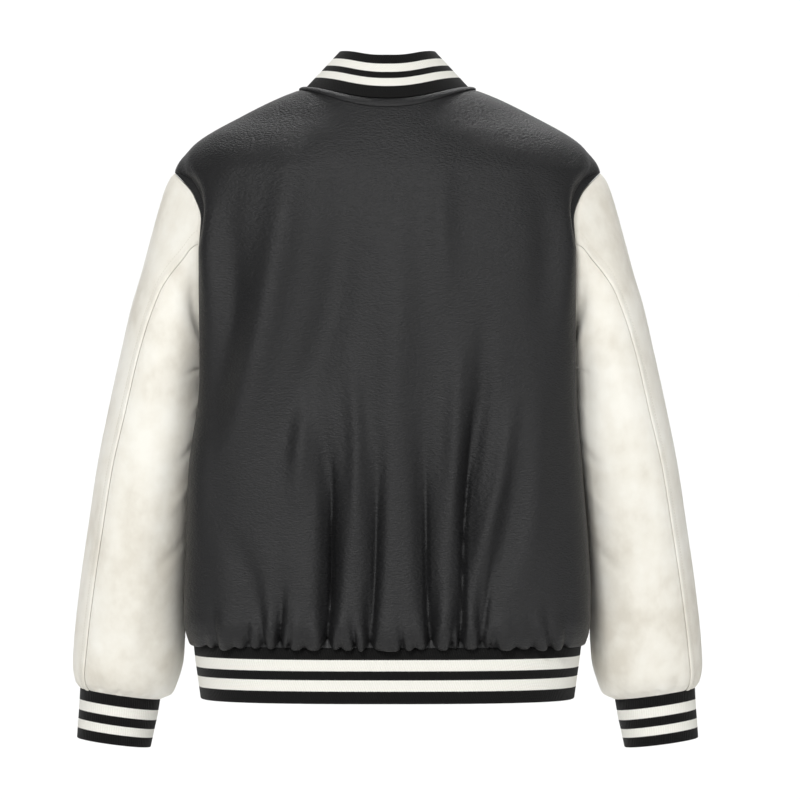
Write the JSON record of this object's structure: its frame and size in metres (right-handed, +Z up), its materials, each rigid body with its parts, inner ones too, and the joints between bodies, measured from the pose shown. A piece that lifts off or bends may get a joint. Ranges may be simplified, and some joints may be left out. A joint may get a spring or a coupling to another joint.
{
  "type": "varsity jacket",
  "caption": "Snap-front varsity jacket, filled out with its arms hanging: dark coated body, pale suede sleeves, striped rib collar, cuffs and waistband.",
  "frame": {"origin": "midway between the two shoulder high points, where the neck seam crosses the shoulder line and a wearer carries the jacket", "axes": "+Z up, +Y the way the wearer faces (the snap front), +X the wearer's right; the back is towards -Y"},
  "size_m": [0.7038, 0.2797, 0.7764],
  "materials": {
    "body_cloth": "near-black coated cloth with a fine grain and a soft sheen",
    "sleeve_suede": "cream suede, matt and softly mottled",
    "rib_knit": "black rib knit with two cream stripes",
    "snap_metal": "black painted snap caps"
  },
  "bodies": {
    "root": {"back_panel": "body_cloth", "front_right": "body_cloth", "front_left": "body_cloth", "neck_welt": "body_cloth", "sleeve_top_right": "sleeve_suede", "sleeve_under_right": "sleeve_suede", "sleeve_top_left": "sleeve_suede", "sleeve_under_left": "sleeve_suede", "collar_rib": "rib_knit", "cuff_right": "rib_knit", "cuff_left": "rib_knit", "waistband_rib": "rib_knit", "snap_1": "snap_metal", "snap_2": "snap_metal", "snap_3": "snap_metal", "snap_4": "snap_metal", "snap_5": "snap_metal", "snap_6": "snap_metal", "snap_7": "snap_metal"}
  },
  "joints": []
}
